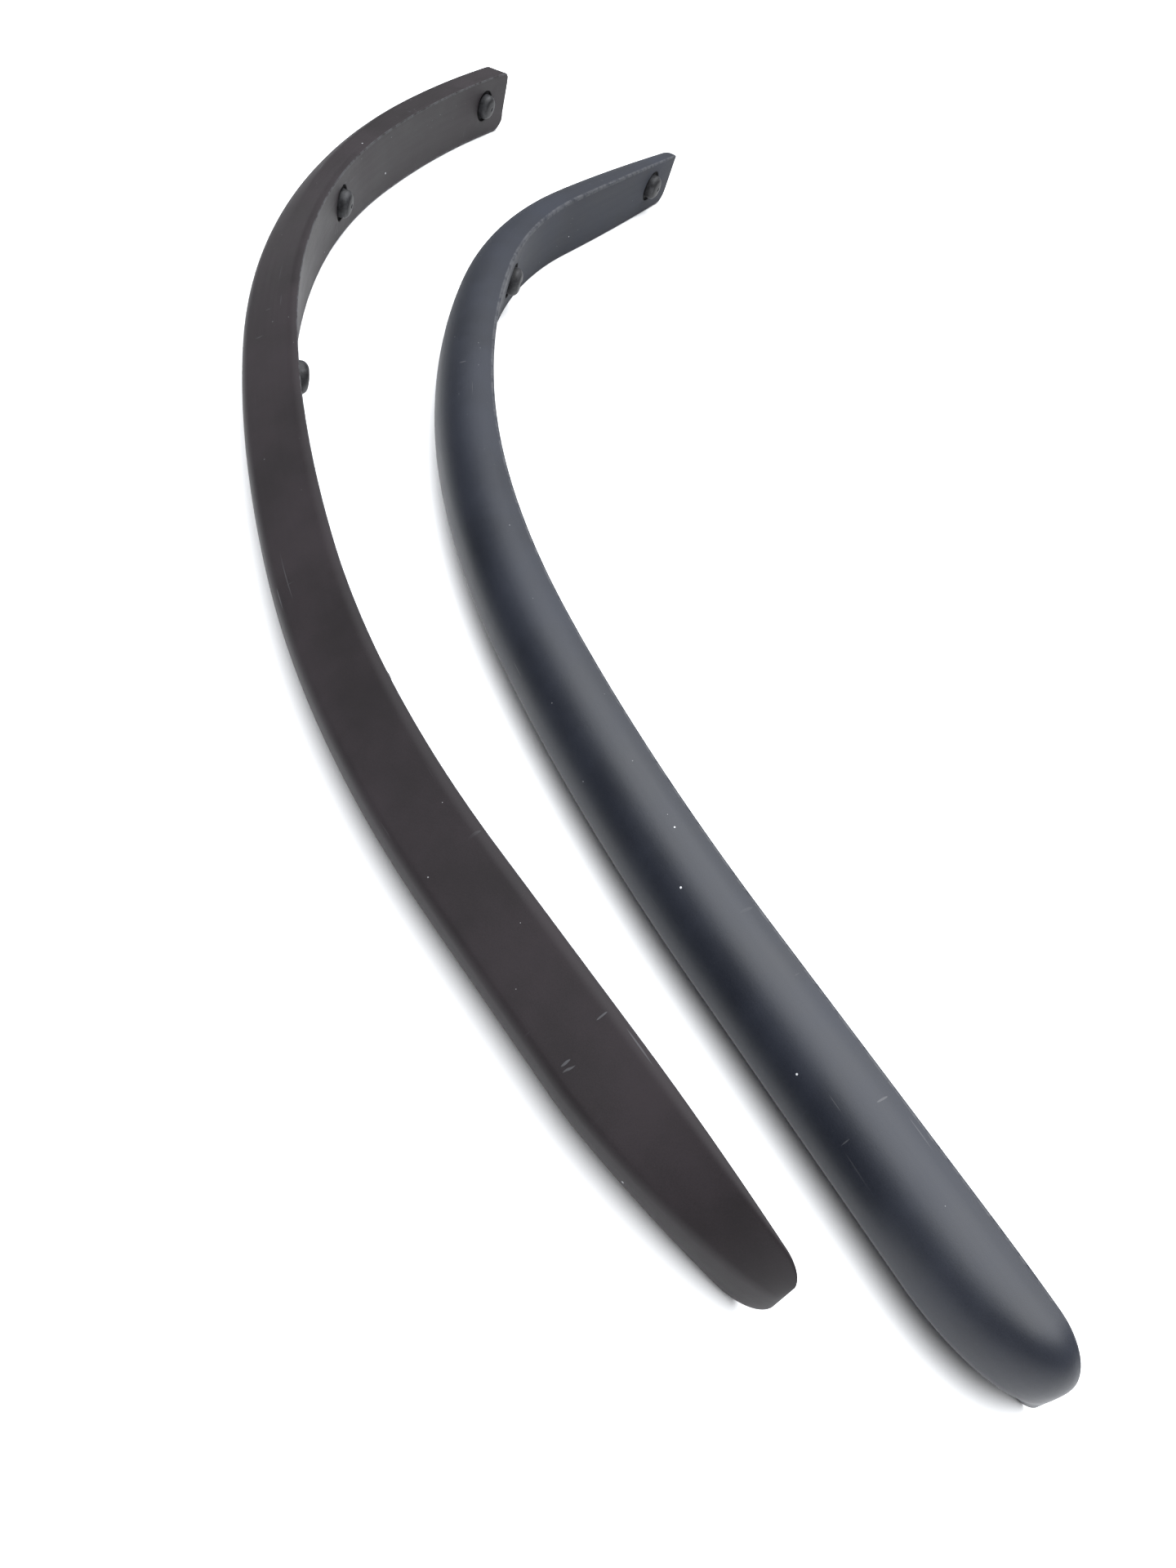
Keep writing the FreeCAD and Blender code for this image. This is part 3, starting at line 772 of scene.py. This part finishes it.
def studRubber(groups):
    material, tree, shader = newMaterial("studRubber")
    spot = addNode(tree, "ShaderNodeAttribute", attribute_name="studSpot").outputs["Vector"]
    position = addNode(tree, "ShaderNodeTexCoord").outputs["Object"]
    grain = useGroup(tree, groups["grain"], Vector=position, Fine_Scale=3000.0, Coarse_Scale=600.0)
    axes = addNode(tree, "ShaderNodeSeparateXYZ", {"Vector": spot}).outputs
    flat = addNode(tree, "ShaderNodeCombineXYZ", {"X": axes["X"], "Y": axes["Y"]}).outputs["Vector"]
    radius = addNode(tree, "ShaderNodeVectorMath", {0: flat}, operation="LENGTH").outputs["Value"]
    turned = calc(tree, "SINE", calc(tree, "MULTIPLY", radius, studFinish["turning"]))
    rim = remap(tree, radius, *studFinish["rim"])
    wear = useGroup(tree, groups["wear"], Vector=position, Edge=rim)["Mask"]
    dust = useGroup(tree, groups["dust"], Vector=position, Scale=500.0, Size=0.12, Share=0.05)["Mask"]
    colour = mixColour(tree, remap(tree, grain["Tone"], 0.35, 0.65), studFinish["dark"], studFinish["light"])
    colour = mixColour(tree, calc(tree, "MULTIPLY", wear, 0.35), colour, rubber["worn"])
    colour = mixColour(tree, calc(tree, "MULTIPLY", dust, 0.5), colour, rubber["dust"])
    rough = remap(tree, grain["Tone"], 0.3, 0.7, *studFinish["roughness"], "LINEAR")
    height = calc(tree, "MULTIPLY_ADD", turned, 0.08, grain["Height"])
    setShader(tree, shader, colour, rough, height, 0.35, 0.0001)
    shader.inputs["Specular IOR Level"].default_value = studFinish["specular"]
    return material


steel = {"dark": (0.34, 0.35, 0.37, 1), "light": (0.55, 0.56, 0.58, 1), "bloom": (0.2, 0.16, 0.13, 1)}


def bandSteel(groups):
    material, tree, shader = newMaterial("bandSteel")
    spot = addNode(tree, "ShaderNodeTexCoord").outputs["Object"]
    brushed = noise(tree, stretch(tree, spot, (18.0, 18.0, 2600.0)), 1.0, 3.0)
    grain = useGroup(tree, groups["grain"], Vector=spot, Fine_Scale=1800.0, Coarse_Scale=120.0)
    scratch = useGroup(tree, groups["scratch"], Vector=spot, Stretch=(60.0, 60.0, 900.0))["Mask"]
    bloom = remap(tree, grain["Tone"], 0.5, 0.72)
    colour = mixColour(tree, brushed, steel["dark"], steel["light"])
    colour = mixColour(tree, calc(tree, "MULTIPLY", bloom, 0.4), colour, steel["bloom"])
    rough = calc(tree, "MULTIPLY_ADD", brushed, 0.25, 0.22)
    height = calc(tree, "MULTIPLY_ADD", scratch, -0.6, brushed)
    setShader(tree, shader, colour, rough, height, 0.3, 0.00008)
    shader.inputs["Metallic"].default_value = 1.0
    return material


groups = {"grain": grainGroup(), "dust": dustGroup(), "scratch": scratchGroup(), "wear": wearGroup()}
finishes = {"leftStrip": mouldedRubber(groups, "left"), "rightStrip": mouldedRubber(groups, "right"),
            "stud": studRubber(groups), "band": bandSteel(groups)}
print("materials made")

sweep = sweepTree()
studRow = studTree()
head = makeHead()
for side in guards:
    makeStrip(side, sweep, finishes[f"{side}Strip"])
    makeStuds(side, studRow, head, finishes["stud"])
    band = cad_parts[f"{side}_stiffening_band"]
    band.data.materials.clear()
    band.data.materials.append(finishes["band"])
bpy.data.objects.remove(head)


# Floor, light and camera.

studio = {
    "floorSize": 24.0,
    "floorColours": ((0.86, 0.86, 0.87, 1), (0.9, 0.9, 0.9, 1)),
    "sunTilt": (7.0, 2.0),     # degrees from overhead, towards +X and +Y
    "sunSpread": 84.0,
    "sunStrength": 8.0,
    "sunColour": (0.96, 0.98, 1.0),
    "skyColour": (0.62, 0.60, 0.60),
    "skyStrength": 0.22,
}
camera = {
    "spot": (-0.41778, -0.36198, 0.3459),
    "heading": 53.17,           # clockwise from +Y
    "pitch": 46.19,             # downwards
    "roll": 22.5,
    "lens": 27.0,
}


def floorMaterial():
    material, tree, shader = newMaterial("paleFloor")
    spot = addNode(tree, "ShaderNodeTexCoord").outputs["Object"]
    cloud = noise(tree, spot, 3.0, 3.0)
    colour = mixColour(tree, cloud, *studio["floorColours"])
    setShader(tree, shader, colour, remap(tree, cloud, 0.3, 0.7, 0.55, 0.65), cloud, 0.02, 0.0002)
    shader.inputs["Specular IOR Level"].default_value = 0.1
    return material


def makeStage():
    size = studio["floorSize"] / 2
    mesh = bpy.data.meshes.new("floor")
    corners = [(-size, -size, 0), (size, -size, 0), (size, size, 0), (-size, size, 0)]
    mesh.from_pydata(corners, [], [(0, 1, 2, 3)])
    mesh.materials.append(floorMaterial())
    floor = bpy.data.objects.new("floor", mesh)
    bpy.context.scene.collection.objects.link(floor)
    lamp = bpy.data.lights.new("softOverhead", "SUN")
    lamp.energy = studio["sunStrength"]
    lamp.angle = math.radians(studio["sunSpread"])
    lamp.color = studio["sunColour"]
    sun = bpy.data.objects.new("softOverhead", lamp)
    towards = Vector([math.sin(math.radians(tilt)) for tilt in studio["sunTilt"]] + [1.0])
    sun.rotation_euler = towards.to_track_quat("Z", "Y").to_euler()
    bpy.context.scene.collection.objects.link(sun)
    world = bpy.data.worlds.new("room")
    world.use_nodes = True
    background = world.node_tree.nodes["Background"]
    background.inputs["Color"].default_value = (*studio["skyColour"], 1)
    background.inputs["Strength"].default_value = studio["skyStrength"]
    bpy.context.scene.world = world


def makeCamera():
    data = bpy.data.cameras.new("camera")
    data.lens = camera["lens"]
    data.clip_start = 0.01
    data.clip_end = 100
    shot = bpy.data.objects.new("camera", data)
    bpy.context.scene.collection.objects.link(shot)
    heading, pitch, roll = (math.radians(camera[k]) for k in ("heading", "pitch", "roll"))
    right = Vector((math.cos(heading), -math.sin(heading), 0))
    level = math.cos(pitch)
    ahead = Vector((math.sin(heading) * level, math.cos(heading) * level, -math.sin(pitch)))
    top = right.cross(ahead)
    x = right * math.cos(roll) + top * math.sin(roll)
    y = top * math.cos(roll) - right * math.sin(roll)
    turn = Matrix((x, y, -ahead)).transposed().to_4x4()
    shot.matrix_world = Matrix.Translation(camera["spot"]) @ turn
    bpy.context.scene.camera = shot


makeStage()
makeCamera()
view = bpy.context.scene.view_settings
view.view_transform = "Standard"
view.look = "None"
print("stage ready")
